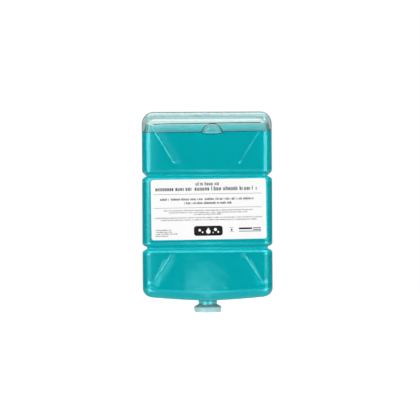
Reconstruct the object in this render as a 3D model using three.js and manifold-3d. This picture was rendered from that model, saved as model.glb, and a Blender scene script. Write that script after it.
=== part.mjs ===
// Hand soap refill pack of one litre, held neck down.
// Millimetres, +Z up, front towards -Y. The origin is the middle of the closure's flat underside.

import * as THREE from 'three';
import { mergeVertices } from 'three/addons/utils/BufferGeometryUtils.js';
import Module from 'manifold-3d';

const wasm = await Module();
wasm.setup();

// Body of the bottle
const bodyWidth = 114;
const bodyDepth = 61;
const lowerTier = 46.5; // bottom to the middle of the lower groove
const middleTier = 63.5; // between the middles of the two grooves
const upperTier = 56; // middle of the upper groove to the top
const wall = 0.8;
const cornerRound = 8; // upright corners
const sharpestCorner = 1;
const bottomRound = 8;
const topRound = 11;
const bottomRise = 3.8; // ends of the bottom above its middle
const bottomRiseSpan = 30; // height in which that slope dies out
const bottomRisePower = 1.5; // shape of the slope, between a straight line and a parabola

// Grooves round the body, each with two round lips, two flanks and a round root
const grooveDepth = 4.2;
const grooveLip = 3.2;
const grooveRoot = 1.2;
const grooveFlank = THREE.MathUtils.degToRad(20); // slope of a flank from level

// Slanting ribs sunk into the front. The inner end is measured from the nearest groove and the
// centre plane, the outer end from the body's side and from its top or bottom.
const ribWidth = 4.6;
const ribDepth = 1.4;
const upperRib = { innerX: 27, grooveGap: 12, sideGap: 11.5, endGap: 14 };
const lowerRib = { innerX: 30.5, grooveGap: 10.5, sideGap: 12.5, endGap: 13.5 };

// Neck under the body
const neckRadius = 8.3;
const neckWall = 1.4;
const neckShown = 4.5; // between the closure and the bottom of the body
const neckFillet = 2;
const neckTaper = 2; // length in which the thin body wall thickens to the neck wall
const beadRise = 0.5;
const beadHalfHeight = 0.8;
const beadHeight = 2.2; // middle of the snap bead above the neck's end

// Closure pushed over the neck
const bandHeight = 4.5;
const bandTaper = 0.75; // radius at the top of the band over that at its foot
const shoulderHeight = 2.2;
const shoulderLip = 0.6; // flat ring between the socket's mouth and the sloping shoulder
const closureFloor = 1.4;
const closureEdge = 0.5; // small round at the foot and the top of the band
const plugWall = 1;
const plugHeight = 3.2;
const pocketDepth = 2.8; // ring pocket that keeps the moulding's walls even
const pocketWidth = 1.35;
const pocketWall = 0.9;
const scoreRadius = 5; // ring that the dispenser pierces
const scoreWidth = 0.5;
const scoreDepth = 0.3;
const closureClearance = 0.3;

// Soap inside. The pack leans back a little, so its level surface rises towards the back.
const headspace = 18.5; // between the surface at the front and the top
const soapLean = THREE.MathUtils.degToRad(14); // rise of the surface towards the back
const soapSlant = THREE.MathUtils.degToRad(0.65); // rise of the surface towards the right
const soapClearance = 0.3;

// Label on the middle tier
const labelSideMargin = 7; // to the body's sides
const labelTopMargin = 3.8; // to the middle of the upper groove
const labelBottomMargin = 7.2; // to the middle of the lower groove
const labelThickness = 0.15;
const labelCorner = 2.2;
const labelShift = 1.2; // to the right of the centre plane
const labelTurn = THREE.MathUtils.degToRad(0.6);
const labelClearance = 0.1;

// Fineness of the curves
const cornerSteps = 5;
const longSidePoints = 4;
const shortSidePoints = 2;
const roundSteps = 5;
const lipSteps = 4;
const rootSteps = 4;
const filletSteps = 4;
const bottomSteps = 5;
const ribSegments = 16;
const turnedSegments = 48;

// Places that follow from the sizes above
const closureHeight = bandHeight + shoulderHeight;
const bodyFoot = closureHeight + neckShown;
const bodyHeight = lowerTier + middleTier + upperTier;
const neckEnd = closureFloor + closureClearance;
const socketRadius = neckRadius + closureClearance;
const neckBore = neckRadius - neckWall;
const plugRadius = neckBore - closureClearance;
const pocketInner = socketRadius + pocketWall;
const pocketOuter = pocketInner + pocketWidth;
const bandFootRadius = pocketOuter + pocketWall;
const bandRadius = bandFootRadius + bandTaper;
const frontY = -bodyDepth / 2;
const soapOffset = wall + soapClearance;
const labelWidth = bodyWidth - 2 * labelSideMargin;
const labelHeight = middleTier - labelTopMargin - labelBottomMargin;

// Every surface of the body is the outside moved inwards by an offset: 0 for the outside itself, the
// wall for the inside, and a clearance more for the soap.

// Ring of points round a rounded rectangle: at each corner an arc, then the side that follows it
function rectangleRing(halfX, halfY, radius) {
  const points = [];
  const corners = [[1, 1], [-1, 1], [-1, -1], [1, -1]];
  corners.forEach(([sideX, sideY], corner) => {
    const centreX = sideX * (halfX - radius);
    const centreY = sideY * (halfY - radius);
    const firstAngle = corner * Math.PI / 2;
    for (let step = 0; step <= cornerSteps; step += 1) {
      const angle = firstAngle + step / cornerSteps * Math.PI / 2;
      points.push([centreX + radius * Math.cos(angle), centreY + radius * Math.sin(angle)]);
    }
    const isLong = corner % 2 === 0;
    const sidePoints = isLong ? longSidePoints : shortSidePoints;
    for (let step = 1; step <= sidePoints; step += 1) {
      const along = 1 - 2 * step / (sidePoints + 1);
      points.push(isLong ? [centreX * along, sideY * halfY] : [sideX * halfX, centreY * along]);
    }
  });
  return points;
}

// The body's section moved inwards by an inset, its corners keeping their centres
function bodyRing(inset) {
  const radius = Math.max(cornerRound - inset, sharpestCorner);
  return rectangleRing(bodyWidth / 2 - inset, bodyDepth / 2 - inset, radius);
}

// Circle of evenly spaced points, as many as in a body ring and each facing its own
function circleRing(radius) {
  const count = 4 * (cornerSteps + 1) + 2 * (longSidePoints + shortSidePoints);
  return Array.from({ length: count }, (_, index) => {
    const angle = (index + (shortSidePoints + 1) / 2) / count * 2 * Math.PI;
    return [radius * Math.cos(angle), radius * Math.sin(angle)];
  });
}

function blendRings(first, second, share) {
  return first.map(([x, y], index) => [
    x + (second[index][0] - x) * share,
    y + (second[index][1] - y) * share,
  ]);
}

// How far the sloping bottom lifts a point of the body
function bottomLift(x, height) {
  const share = THREE.MathUtils.clamp(height / bottomRiseSpan, 0, 1);
  const fade = 1 - THREE.MathUtils.smoothstep(share, 0, 1);
  return bottomRise * (Math.abs(x) / (bodyWidth / 2)) ** bottomRisePower * fade;
}

// Height between a groove's middle and the centre of each lip
function lipDistance() {
  const straight = (grooveDepth - grooveRoot - grooveLip) * Math.sin(grooveFlank);
  return (straight + grooveRoot + grooveLip) / Math.cos(grooveFlank);
}

// Arc of a profile, as [inset, height] pairs; the angle turns from outwards to upwards.
// A negative radius gives a hollow arc, seen from outside.
function profileArc(centreInset, centreHeight, radius, fromAngle, toAngle, steps) {
  return Array.from({ length: steps + 1 }, (_, step) => {
    const angle = fromAngle + (toAngle - fromAngle) * step / steps;
    return [centreInset - radius * Math.cos(angle), centreHeight + radius * Math.sin(angle)];
  });
}

function grooveProfile(middle, offset) {
  const steepest = Math.PI / 2 - grooveFlank;
  const rise = lipDistance();
  const lip = grooveLip - offset;
  const root = -(grooveRoot + offset);
  return [
    ...profileArc(grooveLip, middle - rise, lip, 0, steepest, lipSteps),
    ...profileArc(grooveDepth - grooveRoot, middle, root, steepest, -steepest, rootSteps),
    ...profileArc(grooveLip, middle + rise, lip, -steepest, 0, lipSteps),
  ];
}

// Upright profile of the body, from the edge of its bottom to the edge of its top
function bodyProfile(offset) {
  const right = Math.PI / 2;
  return [
    ...profileArc(bottomRound, bottomRound, bottomRound - offset, -right, 0, roundSteps),
    ...grooveProfile(lowerTier, offset),
    ...grooveProfile(lowerTier + middleTier, offset),
    ...profileArc(topRound, bodyHeight - topRound, topRound - offset, 0, right, roundSteps),
  ];
}

function raiseRing(ring, height) {
  return ring.map(([x, y]) => new THREE.Vector3(x, y, bodyFoot + height + bottomLift(x, height)));
}

function neckRing(radius, height) {
  return circleRing(radius).map(([x, y]) => new THREE.Vector3(x, y, height));
}

// Rings of the bottom, from the fillet round the neck out to the body's lower edge
function bottomRings(offset) {
  const rings = [];
  const filletCentre = neckRadius + neckFillet;
  for (let step = filletSteps; step > 0; step -= 1) {
    const angle = step / filletSteps * Math.PI / 2;
    const radius = filletCentre - (neckFillet + offset) * Math.sin(angle);
    const height = (neckFillet + offset) * Math.cos(angle) - neckFillet;
    rings.push(neckRing(radius, bodyFoot + height));
  }
  const innerRing = circleRing(filletCentre);
  const outerRing = bodyRing(bottomRound);
  for (let step = 0; step < bottomSteps; step += 1) {
    rings.push(raiseRing(blendRings(innerRing, outerRing, step / bottomSteps), offset));
  }
  return rings;
}

// Solid between rings that all have as many points, closed by a fan at each end
function loftGeometry(rings) {
  const count = rings[0].length;
  const positions = [];
  const triangles = [];
  rings.flat().forEach((point) => positions.push(point.x, point.y, point.z));
  for (let ring = 0; ring + 1 < rings.length; ring += 1) {
    for (let index = 0; index < count; index += 1) {
      const next = (index + 1) % count;
      const low = ring * count;
      const high = low + count;
      triangles.push(low + index, low + next, high + next);
      triangles.push(low + index, high + next, high + index);
    }
  }
  [[rings[0], 0, true], [rings.at(-1), (rings.length - 1) * count, false]].forEach(([ring, start, isLow]) => {
    const middle = positions.length / 3;
    positions.push(0, 0, ring[0].z);
    for (let index = 0; index < count; index += 1) {
      const here = start + index;
      const next = start + (index + 1) % count;
      triangles.push(middle, isLow ? next : here, isLow ? here : next);
    }
  });
  const geometry = new THREE.BufferGeometry();
  geometry.setAttribute('position', new THREE.Float32BufferAttribute(positions, 3));
  geometry.setIndex(triangles);
  return geometry;
}

// Manifold solid of a closed geometry
function toSolid(geometry) {
  const bare = new THREE.BufferGeometry();
  bare.setAttribute('position', geometry.getAttribute('position'));
  bare.setIndex(geometry.getIndex());
  const merged = mergeVertices(bare, 1e-5);
  return new wasm.Manifold(new wasm.Mesh({
    numProp: 3,
    vertProperties: new Float32Array(merged.getAttribute('position').array),
    triVerts: new Uint32Array(merged.getIndex().array),
  }));
}

function toGeometry(solid) {
  const mesh = solid.getMesh();
  const geometry = new THREE.BufferGeometry();
  geometry.setAttribute('position', new THREE.BufferAttribute(mesh.vertProperties, 3));
  geometry.setIndex(new THREE.BufferAttribute(mesh.triVerts, 1));
  geometry.computeVertexNormals();
  return geometry;
}

// Capsule that sinks one slanting rib to its depth below the front, on the side given by its sign.
// The offset makes it larger for the surfaces under the wall.
function ribCutter(rib, side, innerHeight, outerHeight, offset) {
  const cutRadius = (ribWidth ** 2 / 4 + ribDepth ** 2) / (2 * ribDepth);
  const y = frontY + ribDepth - cutRadius;
  const inner = new THREE.Vector3(side * rib.innerX, y, bodyFoot + innerHeight);
  const outer = new THREE.Vector3(side * (bodyWidth / 2 - rib.sideGap), y, bodyFoot + outerHeight);
  const along = outer.clone().sub(inner);
  const capSegments = ribSegments / 4;
  const shape = new THREE.CapsuleGeometry(cutRadius + offset, along.length(), capSegments, ribSegments);
  const up = new THREE.Vector3(0, 1, 0);
  const turn = new THREE.Quaternion().setFromUnitVectors(up, along.normalize());
  shape.applyQuaternion(turn);
  shape.translate(...inner.add(outer).multiplyScalar(0.5).toArray());
  return toSolid(shape);
}

function sinkRibs(solid, offset) {
  const upperInner = lowerTier + middleTier + upperRib.grooveGap;
  const upperOuter = bodyHeight - upperRib.endGap;
  const lowerInner = lowerTier - lowerRib.grooveGap;
  return [-1, 1].reduce((sunk, side) => sunk
    .subtract(ribCutter(upperRib, side, upperInner, upperOuter, offset))
    .subtract(ribCutter(lowerRib, side, lowerInner, lowerRib.endGap, offset)), solid);
}

// Solid inside the surface at one offset, with the given rings below it for the neck
function bodySolid(offset, neckRings) {
  const bodyRings = bodyProfile(offset).map(([inset, height]) => raiseRing(bodyRing(inset), height));
  const rings = [...neckRings, ...bottomRings(offset), ...bodyRings];
  return sinkRibs(toSolid(loftGeometry(rings)), offset);
}

// Neck rings from its end up, with the snap bead
function outerNeckRings() {
  const beadMiddle = neckEnd + beadHeight;
  return [
    neckRing(neckRadius, neckEnd),
    neckRing(neckRadius, beadMiddle - beadHalfHeight),
    neckRing(neckRadius + beadRise, beadMiddle),
    neckRing(neckRadius, beadMiddle + beadHalfHeight),
  ];
}

// Rings of the neck's bore, which opens through the neck's end
function boreRings() {
  return [
    neckRing(neckBore, neckEnd - neckWall),
    neckRing(neckBore, bodyFoot - neckFillet - neckTaper),
  ];
}

// Rings of the soap that stands in the neck and inside the closure's plug
function soapNeckRings() {
  const plugTop = closureFloor + plugHeight + soapClearance;
  const plugBore = plugRadius - plugWall - soapClearance;
  return [
    neckRing(plugBore, closureFloor + soapClearance),
    neckRing(plugBore, plugTop),
    neckRing(neckBore - soapClearance, plugTop),
    neckRing(neckBore - soapClearance, bodyFoot - neckFillet - neckTaper),
  ];
}

// Blow-moulded bottle: one thin wall, open at the neck
function makeBottle() {
  return toGeometry(bodySolid(0, outerNeckRings()).subtract(bodySolid(wall, boreRings())));
}

// Liquid filling the body up to its surface, above which a block cuts the headspace away
function makeSoap() {
  const reach = 3 * Math.max(bodyWidth, bodyDepth);
  const blockHeight = 2 * headspace;
  const block = new THREE.BoxGeometry(reach, reach, blockHeight);
  block.translate(0, 0, blockHeight / 2);
  block.rotateX(soapLean);
  block.rotateY(-soapSlant);
  block.translate(0, frontY, bodyFoot + bodyHeight - headspace);
  return toGeometry(bodySolid(soapOffset, soapNeckRings()).subtract(toSolid(block)));
}

// Closure turned about the neck's axis: socket with bead groove, plug, sloping shoulder, band with a
// ring pocket under it, and a score ring in the flat underside
function makeClosure() {
  const beadMiddle = neckEnd + beadHeight;
  const beadReach = beadHalfHeight + closureClearance;
  const plugTop = closureFloor + plugHeight;
  const outline = [
    [0, 0],
    [scoreRadius, 0],
    [scoreRadius + scoreWidth / 2, scoreDepth],
    [scoreRadius + scoreWidth, 0],
    [pocketInner, 0],
    [pocketInner, pocketDepth],
    [pocketOuter, pocketDepth],
    [pocketOuter, 0],
    [bandFootRadius - closureEdge, 0],
    [bandFootRadius, closureEdge],
    [bandRadius, bandHeight - closureEdge],
    [bandRadius - closureEdge, bandHeight],
    [socketRadius + shoulderLip, closureHeight],
    [socketRadius, closureHeight],
    [socketRadius, beadMiddle + beadReach],
    [socketRadius + beadRise, beadMiddle],
    [socketRadius, beadMiddle - beadReach],
    [socketRadius, closureFloor],
    [plugRadius, closureFloor],
    [plugRadius, plugTop - closureClearance],
    [plugRadius - closureClearance, plugTop],
    [plugRadius - plugWall, plugTop],
    [plugRadius - plugWall, closureFloor],
    [0, closureFloor],
  ];
  const geometry = new THREE.LatheGeometry(outline.map(([r, z]) => new THREE.Vector2(r, z)), turnedSegments);
  geometry.rotateX(Math.PI / 2);
  return geometry;
}

// Thin label with round corners, drawn flat and stood up against the front
function makeLabel() {
  const halfX = labelWidth / 2;
  const halfY = labelHeight / 2;
  const outline = new THREE.Shape();
  outline.moveTo(halfX, -halfY + labelCorner);
  outline.absarc(halfX - labelCorner, halfY - labelCorner, labelCorner, 0, Math.PI / 2);
  outline.absarc(-halfX + labelCorner, halfY - labelCorner, labelCorner, Math.PI / 2, Math.PI);
  outline.absarc(-halfX + labelCorner, -halfY + labelCorner, labelCorner, Math.PI, 1.5 * Math.PI);
  outline.absarc(halfX - labelCorner, -halfY + labelCorner, labelCorner, 1.5 * Math.PI, 2 * Math.PI);
  return new THREE.ExtrudeGeometry(outline, {
    depth: labelThickness,
    bevelEnabled: false,
    curveSegments: cornerSteps,
  });
}

function namedMesh(name, geometry, color, roughness, opacity = 1) {
  const material = new THREE.MeshStandardMaterial({
    color,
    roughness,
    metalness: 0,
    opacity,
    transparent: opacity < 1,
  });
  const mesh = new THREE.Mesh(geometry, material);
  mesh.name = name;
  return mesh;
}

function placeLabel(label) {
  label.rotation.set(Math.PI / 2, 0, 0);
  const turned = new THREE.Group();
  turned.add(label);
  turned.rotation.set(0, -labelTurn, 0);
  const middleHeight = bodyFoot + lowerTier + labelBottomMargin + labelHeight / 2;
  turned.position.set(labelShift, frontY - labelClearance, middleHeight);
  return turned;
}

const pack = new THREE.Group();
pack.add(namedMesh('bottle', makeBottle(), 0xcfe9ea, 0.12, 0.35));
pack.add(namedMesh('soap', makeSoap(), 0x02a4ad, 0.05, 0.9));
pack.add(namedMesh('closure', makeClosure(), 0xafdce1, 0.3, 0.8));
pack.add(placeLabel(namedMesh('label', makeLabel(), 0xfafafa, 0.55)));

export default pack;
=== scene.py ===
# Looks of a one-litre hand soap refill pack, held neck down: clear blown bottle, turquoise soap,
# milky closure and printed paper label. Lengths are in millimetres until a mesh is made.
import math

import bpy
import numpy as np
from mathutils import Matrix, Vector


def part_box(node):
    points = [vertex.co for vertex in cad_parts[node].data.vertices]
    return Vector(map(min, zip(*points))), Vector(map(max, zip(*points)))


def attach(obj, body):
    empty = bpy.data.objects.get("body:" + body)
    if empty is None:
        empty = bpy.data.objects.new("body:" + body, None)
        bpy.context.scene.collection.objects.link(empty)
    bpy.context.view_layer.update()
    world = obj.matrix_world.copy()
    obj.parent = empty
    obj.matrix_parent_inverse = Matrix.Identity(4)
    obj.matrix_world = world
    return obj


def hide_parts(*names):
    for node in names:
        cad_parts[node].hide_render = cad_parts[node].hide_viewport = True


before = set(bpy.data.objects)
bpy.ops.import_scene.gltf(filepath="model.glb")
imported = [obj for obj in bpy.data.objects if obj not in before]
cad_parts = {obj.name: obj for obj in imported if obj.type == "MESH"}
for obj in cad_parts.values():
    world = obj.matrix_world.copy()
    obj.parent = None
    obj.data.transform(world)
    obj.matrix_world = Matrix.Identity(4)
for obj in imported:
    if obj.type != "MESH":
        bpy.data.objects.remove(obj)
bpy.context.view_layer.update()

MM = 0.001


def box_mm(node):
    low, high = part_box(node)
    return np.array(low) / MM, np.array(high) / MM


BOTTLE_LOW, BOTTLE_HIGH = box_mm("bottle")
LABEL_LOW, LABEL_HIGH = box_mm("label")
CLOSURE_TOP = box_mm("closure")[1][2]
SOAP_FOOT = box_mm("soap")[0][2]

# Body of the bottle
BODY_WIDTH = BOTTLE_HIGH[0] - BOTTLE_LOW[0]
BODY_DEPTH = BOTTLE_HIGH[1] - BOTTLE_LOW[1]
NECK_SHOWN = 4.5
BODY_FOOT = CLOSURE_TOP + NECK_SHOWN
BODY_HEIGHT = BOTTLE_HIGH[2] - BODY_FOOT
LOWER_TIER = 46.5
MIDDLE_TIER = 63.5
WALL = 0.8
CORNER_ROUND = 8
SHARPEST_CORNER = 1
BOTTOM_ROUND = 8
TOP_ROUND = 11
BOTTOM_RISE = 3.8
BOTTOM_RISE_SPAN = 30
BOTTOM_RISE_POWER = 1.5
FRONT_Y = -BODY_DEPTH / 2

# Grooves round the body
GROOVE_DEPTH = 4.2
GROOVE_LIP = 3.2
GROOVE_ROOT = 1.2
GROOVE_FLANK = math.radians(20)

# Slanting ribs sunk into the front: inner end from the centre plane and the nearest groove,
# outer end from the body's side and its top or bottom, floor's edge beyond the line of the ends.
# Each has a steep flank on the side of the body's edge and rises gently towards the middle.
RIB_DEPTH = 0.55
RIB_FLOOR = 0.8
RIB_RETURN = 6.5
RIB_RETURN_POWER = 1.6
OUTER_FLANK = {"lip": 0.5, "root": 1.1, "steepest": math.radians(30)}
UPPER_RIB = {"inner_x": 27, "groove_gap": 12, "side_gap": 11.5, "end_gap": 14, "outward": 1.5}
LOWER_RIB = {"inner_x": 30.5, "groove_gap": 10.5, "side_gap": 12.5, "end_gap": 13.5, "outward": 3.0}
RIB_CAP = 2.6

# Front and back of the upper and lower tiers, which fall back a little towards the upright corners
EASE = 0.3
EASE_SPAN = 9
EASE_FADE = 6
FACING_POWER = 4

# Neck
NECK_RADIUS = 8.3
NECK_WALL = 1.4
NECK_FILLET = 2
NECK_TAPER = 2

# Soap: its surface rises towards the back and the right, creeps up the wall and dips under a bubble
SOAP_FRONT = BODY_HEIGHT - 20
SOAP_LEAN = math.tan(math.radians(14))
SOAP_SLANT = math.tan(math.radians(0.65))
WETTING = 0.15
MENISCUS_RISE = 1.4
MENISCUS_REACH = 1.6
BUBBLE_X = 4.6
BUBBLE_RADIUS = 9.2
BUBBLE_HEIGHT = 8.8
BUBBLE_DIP = 2.2
BUBBLE_FILM = 0.6
BUBBLE_FLATNESS = 0.6
BUBBLE_SINK = 0.3
BUBBLE_GAP = 0.05
SOAP_NECK_START = SOAP_FOOT + 3.5

# Rings of the soap's surface, as distances from the wall
SURFACE_RINGS = (0.15, 0.35, 0.6, 0.9, 1.3, 1.8, 2.5, 3.5, 5, 7, 10, 14, 18)

# Fineness of the meshes
RIB_END_STEP = 0.4
RIB_ROW_STEP = 1.6
FLANK_STEP = 0.16
RETURN_STEP = 0.8
BUBBLE_STEP = 0.7
BUBBLE_COLUMNS_END = BUBBLE_X + BUBBLE_RADIUS + 1
COARSE_STEP = 5
CORNER_STEPS = 9
ROUND_STEPS = 10
LIP_STEPS = 7
ROOT_STEPS = 8
SUPPORT = 0.35
FLANK_POINTS = 10
RETURN_POINTS = 12
RIM_STEPS = 12
SAME_INSET = 0.0001
BUBBLE_TURNS = 40
BUBBLE_LIFTS = 14


# Mesh helpers

def make_object(name, points, faces, material, smooth=True):
    mesh = bpy.data.meshes.new(name)
    mesh.from_pydata([tuple(point) for point in np.asarray(points) * MM], [], faces)
    mesh.validate()
    mesh.polygons.foreach_set("use_smooth", [smooth] * len(mesh.polygons))
    mesh.materials.append(material)
    mesh.update()
    obj = bpy.data.objects.new(name, mesh)
    bpy.context.collection.objects.link(obj)
    return obj


def steps_between(start, end, step):
    """Evenly spaced values from start to end, both kept."""
    count = max(1, round(abs(end - start) / step))
    return list(np.linspace(start, end, count + 1))


def merge_values(values, closest):
    """Sorted values without those nearer than closest to the one before."""
    kept = []
    for value in sorted(values):
        if not kept or value - kept[-1] > closest:
            kept.append(value)
    return kept


# Ribs

def rib_ends(rib, is_upper):
    """Inner and outer end of one rib on the right half: x and height above the body's foot."""
    outer_x = BODY_WIDTH / 2 - rib["side_gap"]
    if is_upper:
        inner_height = LOWER_TIER + MIDDLE_TIER + rib["groove_gap"]
        return (rib["inner_x"], inner_height), (outer_x, BODY_HEIGHT - rib["end_gap"])
    return (rib["inner_x"], LOWER_TIER - rib["groove_gap"]), (outer_x, rib["end_gap"])


RIBS = [
    (*rib_ends(UPPER_RIB, True), UPPER_RIB["outward"]),
    (*rib_ends(LOWER_RIB, False), LOWER_RIB["outward"]),
]


def flank_profile(lip, root, steepest):
    """Distance from the foot and depth of one flank, from its foot up to the front."""
    angles = np.linspace(0, steepest, FLANK_POINTS)
    lip_rise = lip * (1 - math.cos(steepest))
    root_rise = root * (1 - math.cos(steepest))
    straight = (RIB_DEPTH - lip_rise - root_rise) / math.tan(steepest)
    edge = (lip + root) * math.sin(steepest) + straight
    distance = list(root * np.sin(angles)) + list(edge - lip * np.sin(angles[::-1]))
    depth = list(RIB_DEPTH - root * (1 - np.cos(angles))) + list(lip * (1 - np.cos(angles[::-1])))
    return np.array(distance), np.array(depth)


def rib_profile():
    """Depth of a rib against the distance outwards from the foot of its outer flank."""
    outer, outer_depth = flank_profile(**OUTER_FLANK)
    shares = np.linspace(1, 0, RETURN_POINTS)
    outward = np.concatenate([-RIB_FLOOR - RIB_RETURN * shares, outer])
    depth = np.concatenate([RIB_DEPTH * (1 - shares) ** RIB_RETURN_POWER, outer_depth])
    return outward, depth


RIB_OUTWARD, RIB_SUNK = rib_profile()


# The body's section

def rib_columns():
    """Places of the columns that follow the ribs, from the inner end of the upper one."""
    (inner_x, inner_height), (outer_x, outer_height) = rib_ends(UPPER_RIB, True)
    slant = math.cos(math.atan2(outer_x - inner_x, outer_height - inner_height))
    foot = min(UPPER_RIB["outward"], LOWER_RIB["outward"])
    edge = max(UPPER_RIB["outward"], LOWER_RIB["outward"]) + RIB_OUTWARD[-1]
    places = steps_between(foot - RIB_FLOOR - RIB_RETURN, foot - RIB_FLOOR, RETURN_STEP)
    places += steps_between(foot, edge, FLANK_STEP)
    return [inner_x + place / slant for place in places]


def long_side_places(fine):
    """Places along half a long side, as shares of its straight half length."""
    straight = BODY_WIDTH / 2 - CORNER_ROUND
    places = steps_between(0, straight, COARSE_STEP)
    closest = SUPPORT / 2
    if fine:
        columns = rib_columns()
        places = steps_between(0, BUBBLE_COLUMNS_END, BUBBLE_STEP) + columns
        places += steps_between(BUBBLE_COLUMNS_END, columns[0], COARSE_STEP)
        places += steps_between(columns[-1], straight, COARSE_STEP)
        closest = FLANK_STEP / 2
    places = merge_values(places + [straight - SUPPORT], closest)
    return [place / straight for place in places if place < straight - closest]


def short_side_places():
    straight = BODY_DEPTH / 2 - CORNER_ROUND
    places = merge_values(steps_between(0, straight, COARSE_STEP) + [straight - SUPPORT], SUPPORT / 2)
    return [place / straight for place in places if place < straight - SUPPORT / 2]


def both_halves(places):
    """Shares from +1 to -1 across a side, from those of one half."""
    return sorted({round(sign * place, 6) for place in places for sign in (1, -1)}, reverse=True)


def section_stations():
    """Every station round the section: corner number and turn, or side number and share."""
    sides = [
        both_halves(long_side_places(fine=False)),
        both_halves(short_side_places()),
        both_halves(long_side_places(fine=True)),
        both_halves(short_side_places()),
    ]
    stations = []
    for corner in range(4):
        stations += [(corner, "corner", step / CORNER_STEPS) for step in range(CORNER_STEPS + 1)]
        stations += [(corner, "side", share) for share in sides[corner]]
    return stations


STATIONS = section_stations()
CORNER_SIGNS = [(1, 1), (-1, 1), (-1, -1), (1, -1)]


def section_ring(inset):
    """The body's section moved inwards by an inset, as an array of x and y."""
    half_x = BODY_WIDTH / 2 - inset
    half_y = BODY_DEPTH / 2 - inset
    radius = max(CORNER_ROUND - inset, SHARPEST_CORNER)
    ring = []
    for corner, kind, place in STATIONS:
        sign_x, sign_y = CORNER_SIGNS[corner]
        centre_x = sign_x * (half_x - radius)
        centre_y = sign_y * (half_y - radius)
        if kind == "corner":
            angle = (corner + place) * math.pi / 2
            ring.append((centre_x + radius * math.cos(angle), centre_y + radius * math.sin(angle)))
        elif corner % 2 == 0:
            ring.append((abs(centre_x) * place * sign_x, sign_y * half_y))
        else:
            ring.append((sign_x * half_x, abs(centre_y) * place * sign_y))
    return np.array(ring)


def circle_ring(radius):
    """Circle with one point facing each station, an eighth of the turn for each corner and side."""
    angles = []
    for corner, kind, place in STATIONS:
        share = place if kind == "corner" else 1 + (1 - place) / 2
        angles.append((corner + 0.25 + share / 2) * math.pi / 2)
    angles = np.array(angles)
    return radius * np.column_stack([np.cos(angles), np.sin(angles)])


# The body's upright profile

def arc(centre_inset, centre_height, radius, start, end, steps):
    angles = np.linspace(start, end, steps + 1)
    return [(centre_inset - radius * math.cos(a), centre_height + radius * math.sin(a)) for a in angles]


def lip_distance():
    straight = (GROOVE_DEPTH - GROOVE_ROOT - GROOVE_LIP) * math.sin(GROOVE_FLANK)
    return (straight + GROOVE_ROOT + GROOVE_LIP) / math.cos(GROOVE_FLANK)


def groove_profile(middle, offset):
    steepest = math.pi / 2 - GROOVE_FLANK
    rise = lip_distance()
    lip = GROOVE_LIP - offset
    root = -(GROOVE_ROOT + offset)
    return (arc(GROOVE_LIP, middle - rise, lip, 0, steepest, LIP_STEPS)
            + arc(GROOVE_DEPTH - GROOVE_ROOT, middle, root, steepest, -steepest, ROOT_STEPS)
            + arc(GROOVE_LIP, middle + rise, lip, -steepest, 0, LIP_STEPS))


def straight_rows(low, high, offset, fine_ranges):
    """Rows of a flat stretch of the wall: close together beside its ends and where a rib crosses."""
    rows = steps_between(low, high, RIB_ROW_STEP) + [low + SUPPORT, high - SUPPORT]
    for fine_low, fine_high in fine_ranges:
        start = max(fine_low, low + SUPPORT)
        end = min(fine_high, high - SUPPORT)
        if end > start:
            rows = [row for row in rows if not start < row < end] + steps_between(start, end, RIB_END_STEP)
    rows = merge_values(rows, SUPPORT / 2)
    return [(offset, row) for row in rows if low + SUPPORT / 2 < row < high - SUPPORT / 2]


def rib_height_ranges():
    """Stretches of the height with rows close together: one round each end of a rib."""
    return [(end[1] - RIB_CAP, end[1] + RIB_CAP) for rib in RIBS for end in rib[:2]]


def follow(x, height):
    """Move the columns of the long sides sideways, so that those of the ribs run along them."""
    (upper_in, upper_out, _), (lower_in, lower_out, _) = RIBS
    base = upper_in[0]
    straight = BODY_WIDTH / 2 - CORNER_ROUND
    columns = rib_columns()
    heights = [0, lower_out[1] - RIB_CAP, lower_out[1], lower_in[1], upper_in[1], upper_out[1],
               upper_out[1] + RIB_CAP, BODY_HEIGHT]
    centres = [base, lower_out[0], lower_out[0], lower_in[0], base, upper_out[0], upper_out[0], base]
    shift = np.interp(height, heights, centres) - base
    shift = min(shift, straight - SUPPORT - columns[-1])
    away = np.abs(x)
    moved = np.interp(away, [0, BUBBLE_COLUMNS_END, columns[0], columns[-1], straight, BODY_WIDTH],
                      [0, 0, shift, shift, 0, 0])
    return x + np.sign(x) * moved


def body_profile(offset):
    """Inset and height of every row, from the edge of the bottom to the edge of the top."""
    quarter = math.pi / 2
    parts = [
        arc(BOTTOM_ROUND, BOTTOM_ROUND, BOTTOM_ROUND - offset, -quarter, 0, ROUND_STEPS),
        groove_profile(LOWER_TIER, offset),
        groove_profile(LOWER_TIER + MIDDLE_TIER, offset),
        arc(TOP_ROUND, BODY_HEIGHT - TOP_ROUND, TOP_ROUND - offset, 0, quarter, ROUND_STEPS),
    ]
    rows = list(parts[0])
    for part in parts[1:]:
        rows += straight_rows(rows[-1][1], part[0][1], offset, rib_height_ranges())
        rows += part
    return rows


def bottom_lift(x, height):
    share = np.clip(height / BOTTOM_RISE_SPAN, 0, 1)
    fade = 1 - share * share * (3 - 2 * share)
    return BOTTOM_RISE * (np.abs(x) / (BODY_WIDTH / 2)) ** BOTTOM_RISE_POWER * fade


def rib_sink(x, height):
    """How deep the ribs sink the front at each place."""
    sink = np.zeros_like(x)
    place = np.column_stack([np.abs(x), np.full_like(x, height)])
    for inner, outer, shift in RIBS:
        along = np.array(outer) - np.array(inner)
        across = np.array([abs(along[1]), -along[0] * np.sign(along[1])]) / np.linalg.norm(along)
        start = np.array(inner) + across * shift
        share = np.clip((place - start) @ along / (along @ along), 0, 1)
        away = place - start - share[:, None] * along
        distance = np.linalg.norm(away, axis=1)
        side = np.divide(away @ across, distance, out=np.zeros_like(distance), where=distance > 0)
        gentle = np.interp(-distance, RIB_OUTWARD, RIB_SUNK, left=0)
        steep = np.interp(distance, RIB_OUTWARD, RIB_SUNK, right=0)
        sink = np.maximum(sink, gentle + (steep - gentle) * (1 + side) / 2)
    return sink


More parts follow.
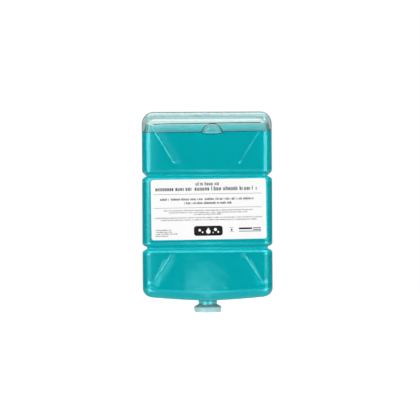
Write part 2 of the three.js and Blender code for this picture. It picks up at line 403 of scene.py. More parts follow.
def eased(x, height):
    """How far the front and back fall back beside the upright corners, nothing in the label's tier."""
    start = BODY_WIDTH / 2 - CORNER_ROUND - EASE_SPAN
    middle = LOWER_TIER + MIDDLE_TIER / 2
    fade = np.clip((abs(height - middle) - MIDDLE_TIER / 2) / EASE_FADE, 0, 1)
    return EASE * (np.clip(np.abs(x) - start, 0, None) / EASE_SPAN) ** 2 * fade


def raised(ring, height):
    """Ring of points at a height above the body's foot, with its front and back shaped."""
    x, y = follow(ring[:, 0], height), ring[:, 1]
    z = BODY_FOOT + height + bottom_lift(x, height)
    facing = np.clip(np.abs(y) / abs(FRONT_Y), 0, 1) ** FACING_POWER
    sink = rib_sink(x, height) * (y < 0) + eased(x, height)
    return np.column_stack([x, y - np.sign(y) * sink * facing, z])


def level_ring(ring, z):
    return np.column_stack([ring, np.full(len(ring), z)])


def bottom_rings(offset):
    """Rings of the bottom, from the fillet round the neck out to the body's lower edge."""
    fillet_centre = NECK_RADIUS + NECK_FILLET
    reach = NECK_FILLET + offset
    rings = []
    for angle in np.linspace(math.pi / 2, 0, ROUND_STEPS, endpoint=False):
        height = reach * math.cos(angle) - NECK_FILLET
        rings.append(level_ring(circle_ring(fillet_centre - reach * math.sin(angle)), BODY_FOOT + height))
    inner = circle_ring(fillet_centre)
    outer = section_ring(BOTTOM_ROUND)
    for share in np.linspace(0, 1, 2 * ROUND_STEPS, endpoint=False):
        rings.append(raised(inner + (outer - inner) * share, offset))
    return rings


def body_rings(offset):
    """Rings from the neck's fillet up to the top."""
    sides = [raised(section_ring(inset), height) for inset, height in body_profile(offset)]
    return bottom_rings(offset) + sides


def loft(rings, close_low=True, close_high=True):
    """Points and faces of a surface through rings, with a fan over each closed end."""
    count = len(rings[0])
    points = np.vstack(rings)
    faces = []
    for ring in range(len(rings) - 1):
        low, high = ring * count, (ring + 1) * count
        for index in range(count):
            following = (index + 1) % count
            faces.append((low + index, low + following, high + following, high + index))
    for closed, start, is_low in ((close_low, 0, True), (close_high, (len(rings) - 1) * count, False)):
        if not closed:
            continue
        ring = points[start:start + count]
        centre = len(points)
        points = np.vstack([points, [[0, 0, ring[:, 2].mean()]]])
        for index in range(count):
            here, following = start + index, start + (index + 1) % count
            faces.append((centre, following, here) if is_low else (centre, here, following))
    return points, faces


# Shader nodes

class NodeMaths:
    """Short calls for the nodes of one node tree."""

    def __init__(self, tree):
        self.nodes = tree.nodes
        self.links = tree.links

    def calculate(self, operation, *values):
        node = self.nodes.new("ShaderNodeMath")
        node.operation = operation
        for socket, value in zip(node.inputs, values):
            if isinstance(value, (int, float)):
                socket.default_value = value
            else:
                self.links.new(value, socket)
        return node.outputs[0]

    def ramp(self, value, low, high, start, end):
        """Smooth change from start to end while the value goes from low to high."""
        node = self.nodes.new("ShaderNodeMapRange")
        node.interpolation_type = "SMOOTHSTEP"
        self.links.new(value, node.inputs["Value"])
        for name, number in (("From Min", low), ("From Max", high), ("To Min", start), ("To Max", end)):
            node.inputs[name].default_value = number
        return node.outputs[0]

    def window(self, angle, low, high, soft):
        """1 between two angles in degrees and 0 outside, with a soft step as wide as told."""
        middle, half = math.radians((low + high) / 2), math.radians((high - low) / 2)
        distance = self.calculate("ABSOLUTE", self.calculate("SUBTRACT", angle, middle))
        reach = math.radians(soft) / 2
        return self.ramp(distance, half - reach, half + reach, 1, 0)

    def blend(self, amount, one, other):
        """Mix of two colours, by an amount from 0 to 1."""
        mix = self.nodes.new("ShaderNodeMix")
        mix.data_type = "RGBA"
        for name, value in (("A", one), ("B", other)):
            if isinstance(value, tuple):
                mix.inputs[name].default_value = (*value, 1)
            else:
                self.links.new(value, mix.inputs[name])
        self.links.new(amount, mix.inputs["Factor"])
        return mix.outputs["Result"]

    def axes(self, vector):
        """The three parts of a vector."""
        node = self.nodes.new("ShaderNodeSeparateXYZ")
        self.links.new(vector, node.inputs[0])
        return node.outputs["X"], node.outputs["Y"], node.outputs["Z"]

    def place(self):
        return self.nodes.new("ShaderNodeTexCoord").outputs["Object"]

    def noise(self, scale, detail):
        """Noise in the piece's own coordinates, with the scale in waves per metre."""
        texture = self.nodes.new("ShaderNodeTexNoise")
        texture.inputs["Scale"].default_value = scale
        texture.inputs["Detail"].default_value = detail
        self.links.new(self.place(), texture.inputs["Vector"])
        return texture.outputs["Fac"]

    def relief(self, height, distance):
        """Normal of a surface with a relief as high as told in metres."""
        bump = self.nodes.new("ShaderNodeBump")
        bump.inputs["Strength"].default_value = 1
        bump.inputs["Distance"].default_value = distance
        self.links.new(height, bump.inputs["Height"])
        return bump.outputs["Normal"]

    def reflected(self):
        """1 on rays that were reflected on their way, 0 on all others."""
        path = self.nodes.new("ShaderNodeLightPath")
        return self.calculate("MINIMUM", path.outputs["Glossy Depth"], 1)


def grey(level):
    return (level, level, level)


SOCKETS = {
    "transmission": "Transmission Weight",
    "refraction": "IOR",
    "roughness": "Roughness",
    "specular": "Specular IOR Level",
    "specular_tint": "Specular Tint",
    "glow": "Emission Color",
}


def new_material(name, colours, relief=None, **values):
    """Material with two colours mixed by a noise, a relief and plain values for its other inputs."""
    material = bpy.data.materials.new(name)
    material.use_nodes = True
    maths = NodeMaths(material.node_tree)
    shader = maths.nodes["Principled BSDF"]
    one, other, scale, detail = colours
    maths.links.new(maths.blend(maths.noise(scale, detail), one, other), shader.inputs["Base Color"])
    if relief:
        scale, detail, distance = relief
        maths.links.new(maths.relief(maths.noise(scale, detail), distance), shader.inputs["Normal"])
    for word, value in values.items():
        shader.inputs[SOCKETS[word]].default_value = value
    return material, maths, shader


# Materials

# Tints and shades: two colours with the waves per metre and the detail of the noise that mixes them.
# Reliefs: the same two numbers of a noise and its height in metres.
BOTTLE_TINTS = ((0.83, 0.945, 0.94), (0.81, 0.94, 0.935), 60, 1)
NECK_TINT = (0.62, 0.77, 0.78)
BLOWN_RELIEF = (70, 2, 0.00006)
SOAP_TINTS = (grey(1), (0.97, 0.985, 0.985), 30, 2)
SOAP_ABSORBS = {"Color": (0, 0.8975, 0.9145, 1), "Density": 117}
FILM_TINTS = ((0.8, 0.98, 0.99), (0.7, 0.96, 0.97), 250, 3)
CLOSURE_TINTS = ((0.6, 0.93, 0.95), (0.52, 0.86, 0.89), 220, 3)
CLOSURE_RELIEF = (900, 3, 0.00004)
PAPER_SHADES = (grey(0.94), grey(0.92), 1500, 4)
PAPER_RELIEF = (1500, 4, 0.00003)
INK_SHADES = (grey(0.006), grey(0.02), 1200, 3)
FLOOR_SHADES = (grey(0.56), grey(0.54), 3, 3)
COOL_MIRROR = (0.35, 1, 1, 1)
PLASTIC = 1.45
LIQUID = 1.36
MILKY = 1.5


def bottle_material():
    """Clear plastic with a faint tint, which is deeper in the thicker neck."""
    material, maths, shader = new_material(
        "clear_blown_plastic", BOTTLE_TINTS, BLOWN_RELIEF,
        transmission=1, refraction=PLASTIC, roughness=0.03, specular_tint=COOL_MIRROR)
    _, _, height = maths.axes(maths.place())
    in_neck = maths.ramp(height, (BODY_FOOT - NECK_FILLET) * MM, (BODY_FOOT + NECK_FILLET) * MM, 1, 0)
    body_tint = shader.inputs["Base Color"].links[0].from_socket
    maths.links.new(maths.blend(in_neck, body_tint, NECK_TINT), shader.inputs["Base Color"])
    return material


def soap_material():
    """Clear liquid that takes the red out of the light on its way through."""
    material, maths, _ = new_material(
        "turquoise_soap", SOAP_TINTS,
        transmission=1, refraction=LIQUID, roughness=0, specular_tint=COOL_MIRROR)
    absorption = maths.nodes.new("ShaderNodeVolumeAbsorption")
    for name, value in SOAP_ABSORBS.items():
        absorption.inputs[name].default_value = value
    maths.links.new(absorption.outputs["Volume"], maths.nodes["Material Output"].inputs["Volume"])
    return material


def bubble_material():
    """Film of the same liquid, without its depth of colour."""
    material, _, _ = new_material("soap_film", FILM_TINTS, transmission=1, refraction=LIQUID, roughness=0)
    return material


def closure_material():
    """Milky plastic that lets some of the light through."""
    material, _, _ = new_material(
        "milky_closure", CLOSURE_TINTS, CLOSURE_RELIEF, transmission=0.4, refraction=MILKY, roughness=0.4)
    return material


def label_material():
    material, _, _ = new_material("coated_paper", PAPER_SHADES, PAPER_RELIEF, roughness=0.5, specular=0.2)
    return material


def ink_material():
    material, _, _ = new_material("black_ink", INK_SHADES, roughness=0.6, specular=0.05)
    return material


# Pieces

def make_bottle(material):
    outer = body_rings(0)
    inner = body_rings(WALL)
    neck_end = BOTTLE_LOW[2]
    neck_low = BODY_FOOT - NECK_FILLET
    outer_neck = [level_ring(circle_ring(NECK_RADIUS), z) for z in (neck_end, neck_low - SUPPORT)]
    bore = NECK_RADIUS - NECK_WALL
    inner_neck = [level_ring(circle_ring(bore), z) for z in (neck_end, neck_low - NECK_TAPER)]
    outer_points, outer_faces = loft(outer_neck + outer, close_low=False)
    inner_points, inner_faces = loft(inner_neck + inner, close_low=False)
    shift = len(outer_points)
    faces = outer_faces + [tuple(shift + i for i in reversed(face)) for face in inner_faces]
    count = len(STATIONS)
    for index in range(count):
        following = (index + 1) % count
        faces.append((index, shift + index, shift + following, following))
    return make_object("bottle_blown", np.vstack([outer_points, inner_points]), faces, material)


def plane_height(x, y):
    """Height of the sloping surface above the body's foot, without bubble and rim."""
    return SOAP_FRONT + SOAP_LEAN * (y - FRONT_Y) + SOAP_SLANT * x


def surface_height(x, y):
    """Height of the soap's surface above the body's foot, with the bubble's bowl pressed into it."""
    away = np.hypot(x - BUBBLE_X, y - FRONT_Y) / BUBBLE_RADIUS
    bowl = np.sqrt(np.clip(1 - away * away, 0, 1))
    return plane_height(x, y) - BUBBLE_DIP * bowl


def cut_columns(rings, insets, level, steps):
    """Columns of a loft cut at a level that depends on x and y: the rings, and the insets of the cut."""
    points = np.array(rings)
    insets = np.repeat(np.array(insets)[:, None], points.shape[1], axis=1)
    above = points[:, :, 2] - BODY_FOOT - level(points[:, :, 0], points[:, :, 1])
    kept = int(np.argmax((above >= 0).any(axis=1))) - 1
    cut_points = [[] for _ in range(steps)]
    cut_insets = np.zeros((steps, points.shape[1]))
    for column in range(points.shape[1]):
        first = int(np.argmax(above[:, column] >= 0))
        share = above[first - 1, column] / (above[first - 1, column] - above[first, column])
        place = first - 1 + share
        for step in range(steps):
            row = kept + (place - kept) * (step + 1) / steps
            low = min(int(row), points.shape[0] - 2)
            part = row - low
            cut_points[step].append(points[low, column] * (1 - part) + points[low + 1, column] * part)
            cut_insets[step, column] = insets[low, column] * (1 - part) + insets[low + 1, column] * part
    return list(points[:kept + 1]) + [np.array(ring) for ring in cut_points], cut_insets[-1]


def section_points(insets):
    """One point of the section for each station, each at its own inset."""
    points = np.zeros((len(STATIONS), 2))
    for inset in np.unique(np.round(insets, 4)):
        chosen = np.abs(insets - inset) < SAME_INSET
        points[chosen] = section_ring(inset)[chosen]
    return points


def make_soap(material):
    offset = WALL - WETTING
    neck_radius = NECK_RADIUS - NECK_WALL + WETTING
    neck_top = BODY_FOOT - NECK_FILLET - NECK_TAPER
    neck = [level_ring(circle_ring(neck_radius), z) for z in (SOAP_NECK_START, neck_top)]
    profile = body_profile(offset)
    sides = [raised(section_ring(inset), height) for inset, height in profile]
    sides, rim = cut_columns(sides, [inset for inset, _ in profile],
                             lambda x, y: surface_height(x, y) + MENISCUS_RISE, RIM_STEPS)
    rings = neck + bottom_rings(offset) + sides
    for distance in SURFACE_RINGS:
        rise = MENISCUS_RISE * math.exp(-distance / MENISCUS_REACH)
        ring = section_points(rim + distance)
        ring[:, 0] = follow(ring[:, 0], SOAP_FRONT)
        z = BODY_FOOT + surface_height(ring[:, 0], ring[:, 1]) + rise
        rings.append(np.column_stack([ring, z]))
    points, faces = loft(rings)
    return make_object("soap_fill", points, faces, material)


def bubble_points():
    """Outer sheet of the film and then the inner one, each in rows from its foot to its top."""
    inside_y = FRONT_Y + WALL + BUBBLE_GAP
    points = []
    for radius in (BUBBLE_RADIUS, BUBBLE_RADIUS - BUBBLE_FILM):
        height = BUBBLE_HEIGHT * radius / BUBBLE_RADIUS
        for up in np.linspace(0, math.pi / 2, BUBBLE_LIFTS + 1):
            for angle in np.linspace(0, math.pi, BUBBLE_TURNS + 1):
                x = BUBBLE_X + radius * math.cos(up) * math.cos(angle)
                y = inside_y + radius * math.cos(up) * math.sin(angle) * BUBBLE_FLATNESS
                points.append((x, y, BODY_FOOT + plane_height(x, y) + height * math.sin(up) - BUBBLE_SINK))
    return points


def bubble_faces():
    """Faces of both sheets and of the strips that join their edges."""
    columns = BUBBLE_TURNS + 1
    sheet = (BUBBLE_LIFTS + 1) * columns
    faces = []
    for lift in range(BUBBLE_LIFTS):
        for turn in range(BUBBLE_TURNS):
            here = lift * columns + turn
            faces.append((here, here + 1, here + columns + 1, here + columns))
            there = sheet + here
            faces.append((there, there + columns, there + columns + 1, there + 1))
    for turn in range(BUBBLE_TURNS):
        faces.append((turn + 1, turn, sheet + turn, sheet + turn + 1))
        low = BUBBLE_LIFTS * columns + turn
        faces.append((low, low + 1, sheet + low + 1, sheet + low))
    for lift in range(BUBBLE_LIFTS):
        left = lift * columns
        right = left + BUBBLE_TURNS
        faces.append((left, left + columns, sheet + left + columns, sheet + left))
        faces.append((right + columns, right, sheet + right, sheet + right + columns))
    return faces


def make_bubble(material):
    """Dome of thin film on the soap's surface, against the front wall."""
    return make_object("soap_bubble", bubble_points(), bubble_faces(), material)


# Closure, turned from a rounded outline

SOCKET_CLEARANCE = 0.3
CLOSURE_FLOOR = 1.4
BAND_HEIGHT = 4.5
BAND_TAPER = 0.75
POCKET_DEPTH = 2.8
POCKET_WIDTH = 1.35
POCKET_WALL = 0.9
SHOULDER_LIP = 0.6
SCORE_RADIUS = 5
SCORE_WIDTH = 0.5
SCORE_DEPTH = 0.3
PLUG_WALL = 1
PLUG_HEIGHT = 3.2
EDGE_ROUND = 0.35
CLOSURE_TURNS = 144


def rounded(outline, radius, steps=4):
    """Outline whose corners become curves that take no more than a third of each side."""
    points = [np.array(point, dtype=float) for point in outline]
    result = [points[0]]
    for before, here, after in zip(points, points[1:], points[2:]):
        back, forth = before - here, after - here
        reach = min(radius, np.linalg.norm(back) / 3, np.linalg.norm(forth) / 3)
        start = here + back / np.linalg.norm(back) * reach
        end = here + forth / np.linalg.norm(forth) * reach
        for step in range(steps + 1):
            share = step / steps
            result.append((1 - share) ** 2 * start + 2 * share * (1 - share) * here + share ** 2 * end)
    result.append(points[-1])
    return result


def closure_outline():
    socket = NECK_RADIUS + SOCKET_CLEARANCE
    plug = NECK_RADIUS - NECK_WALL - SOCKET_CLEARANCE
    pocket_inner = socket + POCKET_WALL
    pocket_outer = pocket_inner + POCKET_WIDTH
    band_foot = pocket_outer + POCKET_WALL
    plug_top = CLOSURE_FLOOR + PLUG_HEIGHT
    return [
        (0, 0), (SCORE_RADIUS, 0),
        (SCORE_RADIUS + SCORE_WIDTH / 2, SCORE_DEPTH), (SCORE_RADIUS + SCORE_WIDTH, 0),
        (pocket_inner, 0), (pocket_inner, POCKET_DEPTH), (pocket_outer, POCKET_DEPTH), (pocket_outer, 0),
        (band_foot, 0), (band_foot + BAND_TAPER, BAND_HEIGHT), (socket + SHOULDER_LIP, CLOSURE_TOP),
        (socket, CLOSURE_TOP), (socket, CLOSURE_FLOOR), (plug, CLOSURE_FLOOR), (plug, plug_top),
        (plug - PLUG_WALL, plug_top), (plug - PLUG_WALL, CLOSURE_FLOOR), (0, CLOSURE_FLOOR),
    ]


def make_closure(material):
    profile = rounded(closure_outline(), EDGE_ROUND)
    points = [(0, 0, profile[0][1])]
    for radius, height in profile[1:-1]:
        for turn in range(CLOSURE_TURNS):
            angle = turn / CLOSURE_TURNS * 2 * math.pi
            points.append((radius * math.cos(angle), radius * math.sin(angle), height))
    top = len(points)
    points.append((0, 0, profile[-1][1]))
    faces = []
    rings = len(profile) - 2
    for turn in range(CLOSURE_TURNS):
        following = (turn + 1) % CLOSURE_TURNS
        faces.append((0, 1 + following, 1 + turn))
        last = 1 + (rings - 1) * CLOSURE_TURNS
        faces.append((top, last + turn, last + following))
        for ring in range(rings - 1):
            low = 1 + ring * CLOSURE_TURNS
            high = low + CLOSURE_TURNS
            faces.append((low + turn, low + following, high + following, high + turn))
    return make_object("closure_moulded", points, faces, material)


# Label and its print

# u runs to the right and v up from the label's middle, both along its edges.
# INK is how far the paper lies behind the foremost plane, MOTIF how far the ink does.
LABEL_WIDTH = 100
LABEL_HEIGHT = 52.5
LABEL_CORNER = 2.2
LABEL_TURN = math.radians(0.6)
LABEL_MIDDLE = (LABEL_LOW + LABEL_HIGH) / 2
INK = 0.02
MOTIF = 0.008
PRINT_SEED = 7


def on_label(u, v, y):
    cos, sin = math.cos(LABEL_TURN), math.sin(LABEL_TURN)
    return (LABEL_MIDDLE[0] + u * cos - v * sin, y, LABEL_MIDDLE[2] + u * sin + v * cos)


def round_corners(half_u, half_v, radius, steps=8):
    outline = []
    for corner, (side_u, side_v) in enumerate(CORNER_SIGNS):
        for step in range(steps + 1):
            angle = (corner + step / steps) * math.pi / 2
            outline.append((side_u * (half_u - radius) + radius * math.cos(angle),
                            side_v * (half_v - radius) + radius * math.sin(angle)))
    return outline


def extrude(outline, middle_u, middle_v, front, back):
    """Closed slab with an outline on the label, between two depths."""
    count = len(outline)
    points = [on_label(middle_u + u, middle_v + v, front) for u, v in outline]
    points += [on_label(middle_u + u, middle_v + v, back) for u, v in outline]
    faces = [tuple(range(count)), tuple(reversed(range(count, 2 * count)))]
    for index in range(count):
        following = (index + 1) % count
        faces.append((following, index, count + index, count + following))
    return points, faces


def make_label(material):
    outline = round_corners(LABEL_WIDTH / 2, LABEL_HEIGHT / 2, LABEL_CORNER)
    points, faces = extrude(outline, 0, 0, LABEL_LOW[1] + INK, LABEL_HIGH[1])
    return make_object("label_sheet", points, faces, material, smooth=False)


class Print:
    """Slabs of ink gathered into one mesh."""

    def __init__(self, front):
        self.front = front
        self.points = []
        self.faces = []

    def slab(self, outline, u, v):
        low = LABEL_LOW[1] + self.front
        points, faces = extrude(outline, u, v, low, LABEL_LOW[1] + INK)
        shift = len(self.points)
        self.points += points
        self.faces += [tuple(shift + index for index in face) for face in faces]

    def bar(self, u, v, width, height):
        half_u, half_v = width / 2, height / 2
        self.slab([(half_u, half_v), (-half_u, half_v), (-half_u, -half_v), (half_u, -half_v)], u, v)

    def disc(self, u, v, radius, sides=24):
        angles = [index / sides * 2 * math.pi for index in range(sides)]
        self.slab([(radius * math.cos(a), radius * math.sin(a)) for a in angles], u, v)

    def make(self, name, material):
        return make_object(name, self.points, self.faces, material, smooth=False)


# Proportions of the strokes that stand for letters, as shares of their height or of the stroke
ASCENDERS = [0, 0, 0, 0.4]
LETTER_WIDTHS = (0.5, 0.72)
BAR_INSET = 1.8
LETTER_GAP = 0.9
WORD_GAP = 0.55
WORD_LENGTHS = (3, 9)


def greek_letter(ink, random, u, v, width, height, stroke):
    """Upright strokes and a bar or two that look like a letter from afar."""
    rise = height * random.choice(ASCENDERS)
    ink.bar(u + stroke / 2, v + rise / 2, stroke, height + rise)
    shape = random.integers(5)
    if shape != 0:
        ink.bar(u + width - stroke / 2, v, stroke, height)
    for place, shapes in ((-1, (1, 2)), (0, (3,)), (1, (1, 4))):
        if shape in shapes:
            ink.bar(u + width / 2, v + place * (height - stroke) / 2, width - BAR_INSET * stroke, stroke)


def greek_line(ink, random, start, end, v, height, stroke):
    """Line of words that reads as print from afar and spells nothing."""
    u = start
    while True:
        for _ in range(random.integers(*WORD_LENGTHS)):
            width = height * random.uniform(*LETTER_WIDTHS)
            if u + width > end:
                return
            greek_letter(ink, random, u, v, width, height, stroke)
            u += width + stroke * LETTER_GAP
        u += height * WORD_GAP


# Lines of print: start, end, place of the middle upwards, height of a letter, width of a stroke
HEADING = [(-11, 10.5, 21.9, 2.3, 0.52)]
TITLE = [(-46, 45, 17.6, 2.5, 0.64)]
NOTES = [(-42, 41, 8.8, 1.6, 0.42), (-21, 20.5, 5.4, 1.6, 0.42)]
SMALL = [
    (-39.5, 38.5, -0.9, 0.75, 0.19), (-34.5, 34, -2.7, 0.75, 0.19), (-13, 11.5, -4.3, 0.75, 0.19),
    (-46.5, 46, -7.2, 0.75, 0.19), (-41.5, 41.5, -9.1, 0.75, 0.19),
]
ADDRESS = [
    (-46.5, -33, -17.7, 0.8, 0.22), (-46.5, -32, -19.4, 0.8, 0.22),
    (-46.5, -27.5, -21.1, 0.8, 0.22), (-46.5, -35, -22.8, 0.8, 0.22),
]
RULES = [(-47.5, 46, 13.4), (-47.5, 46, 1.5)]
RULE_THICKNESS = 0.26

# Marks in the lower part of the label: middle, width and height of the badge and the small mark,
# middle of the side mark, whose bars have their left end, height from the middle, length and thickness
BADGE = (-0.6, -18.7, 25, 8.6)
BADGE_CORNER = 2.4
DROP_RADIUS = 1.9
DROP_TIP = 3.4
BUBBLES = [(-7.5, 0.6, 1.1), (-5, -1.2, 0.7), (6.2, 1.0, 1.3), (8.6, -1.1, 0.8), (4.2, -1.6, 0.5)]
SMALL_MARK = (19.7, -18.0, 3.4, 3.4)
SMALL_DROP = {"radius": 0.22, "tip": 0.4, "sink": 0.06}
SIDE_MARK = (35.7, -18.6)
SIDE_MARK_BARS = [(-9.7, 1.5, 11.5, 1.5), (2.6, 1.9, 6.8, 0.7), (-9.7, -0.9, 19.4, 0.6), (2.6, 0.4, 6.8, 0.7)]


def drop_outline(radius, tip, steps=28):
    """Round drop with its tip up."""
    lean = math.acos(radius / tip)
    angles = np.linspace(math.pi / 2 + lean, 5 * math.pi / 2 - lean, steps)
    return [(radius * math.cos(a), radius * math.sin(a)) for a in angles] + [(0, tip)]


def make_print(material):
    ink = Print(MOTIF)
    random = np.random.default_rng(PRINT_SEED)
    for line in HEADING + TITLE + NOTES + SMALL + ADDRESS:
        greek_line(ink, random, *line)
    for start, end, v in RULES:
        ink.bar((start + end) / 2, v, end - start, RULE_THICKNESS)
    u, v, width, height = BADGE
    ink.slab(round_corners(width / 2, height / 2, BADGE_CORNER), u, v)
    u, v, width, height = SMALL_MARK
    ink.bar(u, v + height / 2, width, RULE_THICKNESS)
    ink.bar(u, v - height / 2, width, RULE_THICKNESS)
    drop = drop_outline(width * SMALL_DROP["radius"], width * SMALL_DROP["tip"])
    ink.slab(drop, u, v - height * SMALL_DROP["sink"])
    u, v = SIDE_MARK
    for left, up, length, thickness in SIDE_MARK_BARS:
        ink.bar(u + left + length / 2, v + up, length, thickness)
    return ink.make("label_print", material)


def make_motif(material):
    """Pale drop and bubbles on the dark badge."""
    pale = Print(0)
    u, v, _, _ = BADGE
    pale.slab(drop_outline(DROP_RADIUS, DROP_TIP), u, v - DROP_RADIUS / 3)
    for across, up, radius in BUBBLES:
        pale.disc(u + across, v + up, radius)
    return pale.make("label_motif", material)


# Stage, lights and camera

# White backdrops seen through the pack at every quarter turn: half width, end of the fall beside them,
# both in degrees, and the level between them
PANEL_HALF = 8
PANEL_SPREAD = 22
PANEL_GAP_LEVEL = 0.6

# Soft boxes that only reflections see, in degrees from the front and from level: low, high, softness
SOFT_BOXES = [
    {"azimuth": (-62, -24, 12), "elevation": (1, 18, 14), "level": 4.2},
    {"azimuth": (-38, -10, 16), "elevation": (1, 40, 16), "level": 1.8},
    {"azimuth": (22, 56, 12), "elevation": (0, 60, 16), "level": 4},
    {"azimuth": (-45, 45, 20), "elevation": (28, 45, 8), "level": 5},
    {"azimuth": (-200, 200, 1), "elevation": (54, 100, 10), "level": 2.5},
    {"azimuth": (-0.9, 0.7, 1.5), "elevation": (-4.5, -1.8, 2.2), "level": 1.3},
]
ROOM_LEVEL = 0.03
BEHIND_RANGE = (0.1, 0.7)
BEHIND_LEVEL = 0.35
AMBIENT_LEVEL = 0.35

# Floor, with light pools that only reflections see: lengths in metres, angles from the front as above
FLOOR_DROP = 0.15
FLOOR_SIZE = 6
FLOOR_GLOW = 0.95
FLOOR_MIRRORED = 0.25
POOL_LEVEL = 4
POOL_AZIMUTH = (20, 60, 12)
POOL_START = (0.22, 0.3)
NEAR_POOL_LEVEL = 1.2
NEAR_POOL_AZIMUTH = (-2.5, 2.5, 5)

# Lamps for the label and the closure: place and size in metres, power in watts
LAMPS = {
    "left_softbox": {"place": (-0.62, -0.75, 0.25), "size": (0.75, 1.0), "power": 2.3},
    "right_softbox": {"place": (0.45, -0.95, 0.25), "size": (0.6, 1.0), "power": 1.95},
}
LAMP_TARGET = (0, 0, 0.09)

# Camera, in metres
CAMERA_DISTANCE = 0.9
CAMERA_HEIGHT = 0.065
CAMERA_YAW = math.radians(-0.3)
CAMERA_ROLL = math.radians(-0.35)
FRAME_WIDTH = 0.3652
FRAME_CENTRE = (0.0022, 0.0905)
SENSOR_WIDTH = 36


def mirrored_room(maths, direction):
    """Level of the room as reflections see it: dark, with soft boxes and a grey rear."""
    east, north, up = maths.axes(direction)
    azimuth = maths.calculate("ARCTAN2", east, maths.calculate("MULTIPLY", north, -1))
    elevation = maths.calculate("ARCSINE", up)
    level = ROOM_LEVEL
    for box in SOFT_BOXES:
        inside = maths.calculate("MULTIPLY", maths.window(azimuth, *box["azimuth"]),
                                 maths.window(elevation, *box["elevation"]))
        level = maths.calculate("ADD", level, maths.calculate("MULTIPLY", inside, box["level"]))
    return maths.calculate("ADD", level, maths.ramp(north, *BEHIND_RANGE, 0, BEHIND_LEVEL))


def seen_room(maths, direction):
    """Level of the room as seen through the pack: white backdrops with dimmer gaps between them."""
    east, north, _ = maths.axes(direction)
    azimuth = maths.calculate("ARCTAN2", east, maths.calculate("MULTIPLY", north, -1))
    quarter = maths.calculate("PINGPONG", maths.calculate("ABSOLUTE", azimuth), math.pi / 4)
    return maths.ramp(quarter, math.radians(PANEL_HALF), math.radians(PANEL_SPREAD), 1, PANEL_GAP_LEVEL)


def make_world():
    """White to the eye, soft light on dull surfaces, and a room for what passes or mirrors the light."""
    world = bpy.data.worlds.new("white_room")
    bpy.context.scene.world = world
    world.use_nodes = True
    maths = NodeMaths(world.node_tree)
    background = maths.nodes["Background"]
    background.inputs["Color"].default_value = (1, 1, 1, 1)
    direction = maths.nodes.new("ShaderNodeTexCoord").outputs["Generated"]
    path = maths.nodes.new("ShaderNodeLightPath")
    to_camera = path.outputs["Is Camera Ray"]
    to_dull = path.outputs["Is Diffuse Ray"]

    seen = seen_room(maths, direction)
    difference = maths.calculate("SUBTRACT", mirrored_room(maths, direction), seen)
    level = maths.calculate("ADD", seen, maths.calculate("MULTIPLY", difference, maths.reflected()))
    others = maths.calculate("SUBTRACT", 1, maths.calculate("ADD", to_camera, to_dull))
    total = maths.calculate("ADD", to_camera, maths.calculate("MULTIPLY", to_dull, AMBIENT_LEVEL))
    total = maths.calculate("ADD", total, maths.calculate("MULTIPLY", others, level))
    maths.links.new(total, background.inputs["Strength"])


def mirrored_floor(maths):
    """Level of the floor as reflections see it: dim, with pools at both sides and one in the middle."""
    position = maths.nodes.new("ShaderNodeNewGeometry").outputs["Position"]
    east, north, _ = maths.axes(position)
    front = maths.calculate("MULTIPLY", north, -1)
    side = maths.calculate("ABSOLUTE", east)
    azimuth = maths.calculate("ARCTAN2", side, front)
    away = maths.calculate("SQRT", maths.calculate("ADD", maths.calculate("MULTIPLY", side, side),
                                                   maths.calculate("MULTIPLY", front, front)))
    side_pools = maths.calculate("MULTIPLY", maths.window(azimuth, *POOL_AZIMUTH),
                                 maths.ramp(away, *POOL_START, 0, 1))
    near_pool = maths.calculate("MULTIPLY", maths.window(azimuth, *NEAR_POOL_AZIMUTH), NEAR_POOL_LEVEL)
    pools = maths.calculate("ADD", maths.calculate("MULTIPLY", side_pools, POOL_LEVEL), near_pool)
    return maths.calculate("ADD", pools, FLOOR_MIRRORED)


def floor_material():
    material, maths, shader = new_material(
        "pale_floor", FLOOR_SHADES, roughness=0.9, specular=0.1, glow=(1, 1, 1, 1))
    difference = maths.calculate("SUBTRACT", mirrored_floor(maths), FLOOR_GLOW)
    change = maths.calculate("MULTIPLY", difference, maths.reflected())
    maths.links.new(maths.calculate("ADD", change, FLOOR_GLOW), shader.inputs["Emission Strength"])
    return material


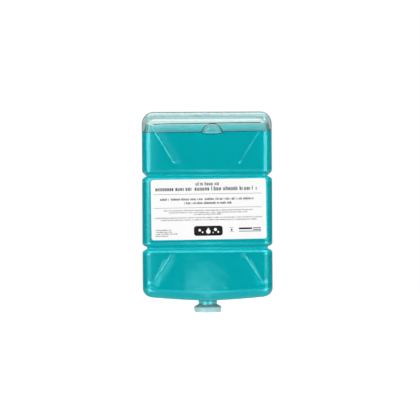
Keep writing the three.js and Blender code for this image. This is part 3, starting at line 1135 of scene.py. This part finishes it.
def make_floor():
    half = FLOOR_SIZE / 2 / MM
    drop = -FLOOR_DROP / MM
    points = [(-half, -half, drop), (half, -half, drop), (half, half, drop), (-half, half, drop)]
    floor = make_object("floor", points, [(0, 1, 2, 3)], floor_material(), smooth=False)


def add_lamp(name, place, size, power):
    """Area lamp that points at the pack and shows in no reflection."""
    light = bpy.data.lights.new(name, "AREA")
    light.shape = "RECTANGLE"
    light.size, light.size_y = size
    light.energy = power
    obj = bpy.data.objects.new(name, light)
    obj.location = place
    obj.rotation_euler = (Vector(LAMP_TARGET) - Vector(place)).to_track_quat("-Z", "Y").to_euler()
    obj.visible_glossy = False
    obj.visible_transmission = False
    bpy.context.collection.objects.link(obj)


def make_camera():
    """Camera level with the bottle's axis; the shift brings the bottle to its place in the frame."""
    camera = bpy.data.cameras.new("camera")
    target = Vector((FRAME_CENTRE[0], FRONT_Y * MM, CAMERA_HEIGHT))
    direction = Vector((math.sin(CAMERA_YAW), -math.cos(CAMERA_YAW), 0))
    obj = bpy.data.objects.new("camera", camera)
    obj.location = target + direction * CAMERA_DISTANCE
    obj.rotation_euler = (-direction).to_track_quat("-Z", "Y").to_euler()
    obj.rotation_euler.rotate_axis("Z", CAMERA_ROLL)
    camera.sensor_width = SENSOR_WIDTH
    camera.lens = camera.sensor_width * CAMERA_DISTANCE / FRAME_WIDTH
    camera.shift_y = (FRAME_CENTRE[1] - CAMERA_HEIGHT) / FRAME_WIDTH
    bpy.context.collection.objects.link(obj)
    bpy.context.scene.camera = obj


def settle(piece, node):
    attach(piece, "root")
    if node:
        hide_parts(node)


def main():
    settle(make_bottle(bottle_material()), "bottle")
    settle(make_soap(soap_material()), "soap")
    settle(make_bubble(bubble_material()), None)
    settle(make_closure(closure_material()), "closure")
    paper = label_material()
    settle(make_label(paper), "label")
    settle(make_print(ink_material()), None)
    settle(make_motif(paper), None)
    make_world()
    make_floor()
    for name, lamp in LAMPS.items():
        add_lamp(name, **lamp)
    make_camera()
    bpy.context.scene.view_settings.view_transform = "Standard"


main()
